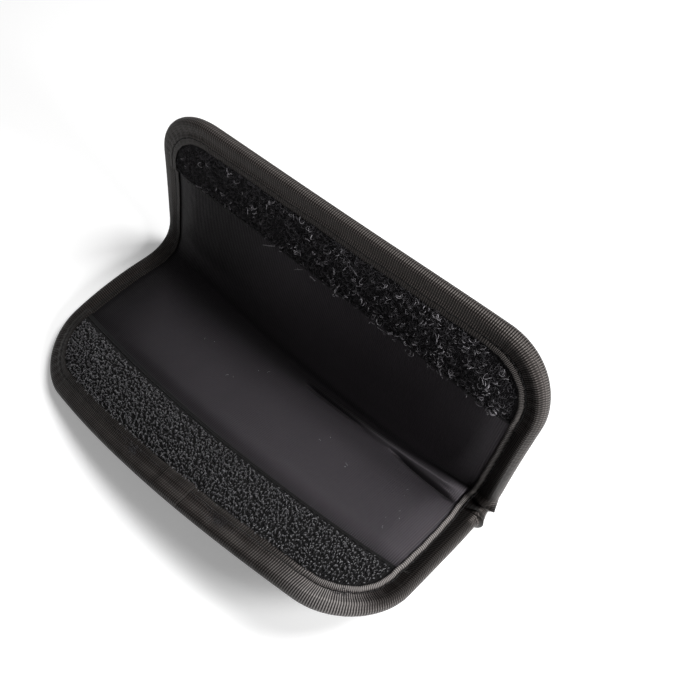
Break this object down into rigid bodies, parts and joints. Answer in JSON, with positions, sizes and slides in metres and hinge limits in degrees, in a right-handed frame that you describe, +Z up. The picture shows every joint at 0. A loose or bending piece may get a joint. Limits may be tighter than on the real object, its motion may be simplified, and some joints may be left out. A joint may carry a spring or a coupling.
{
  "type": "seat belt shoulder pad",
  "caption": "Padded fabric sleeve for a seat belt, opened out along its middle fold, with a hook tape and a loop tape on its two leaves and a bound edge.",
  "frame": {"origin": "centre of the footprint on the surface that the open pad rests on", "axes": "+X along the fold, which is the belt's direction, +Z up, +Y towards the raised leaf with the loop tape"},
  "size_m": [0.151, 0.0898, 0.0636],
  "materials": {
    "outer_cover": "black brushed knit, matte",
    "foam_core": "dark open-cell foam, matte",
    "inner_lining": "black ribbed satin knit, soft sheen",
    "hook_strip": "black nylon hook tape, small glossy hooks",
    "loop_strip": "black nylon loop tape, fuzzy loops",
    "edge_binding": "black woven ribbed tape, matte, a little worn at the rim"
  },
  "bodies": {
    "root": {"outer_cover": "outer_cover", "foam_core": "foam_core", "inner_lining": "inner_lining", "hook_strip": "hook_strip", "loop_strip": "loop_strip", "edge_binding": "edge_binding"}
  },
  "joints": []
}
